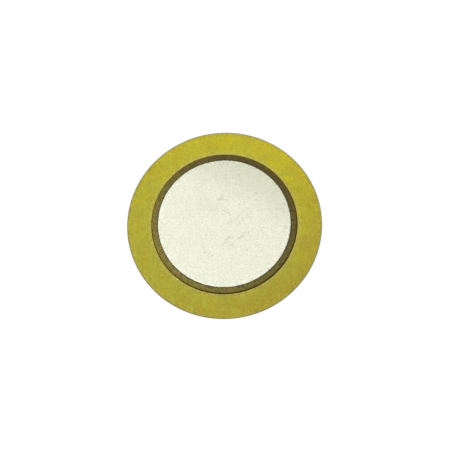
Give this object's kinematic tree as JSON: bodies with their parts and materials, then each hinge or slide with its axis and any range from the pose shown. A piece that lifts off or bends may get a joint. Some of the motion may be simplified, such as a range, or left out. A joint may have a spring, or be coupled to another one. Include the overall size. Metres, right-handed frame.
{
  "type": "piezo disc",
  "caption": "Bare piezo disc: a round brass plate with a silvered ceramic disc glued to its face, which bends to sound a tone or to sense vibration.",
  "frame": {"origin": "centre of the brass plate's rear face, which is the face that the disc rests on", "axes": "+Z along the disc's axis, from the plate towards the silver electrode; +X and +Y lie in the plate's rear face"},
  "size_m": [0.027, 0.027, 0.0005],
  "materials": {
    "brass": "satin",
    "adhesive": "gloss",
    "silver": "matte",
    "ceramic": "matte"
  },
  "bodies": {
    "root": {"brass_plate": "brass", "adhesive_bond": "adhesive", "lower_electrode": "silver", "ceramic_disc": "ceramic", "upper_electrode": "silver"}
  },
  "joints": []
}
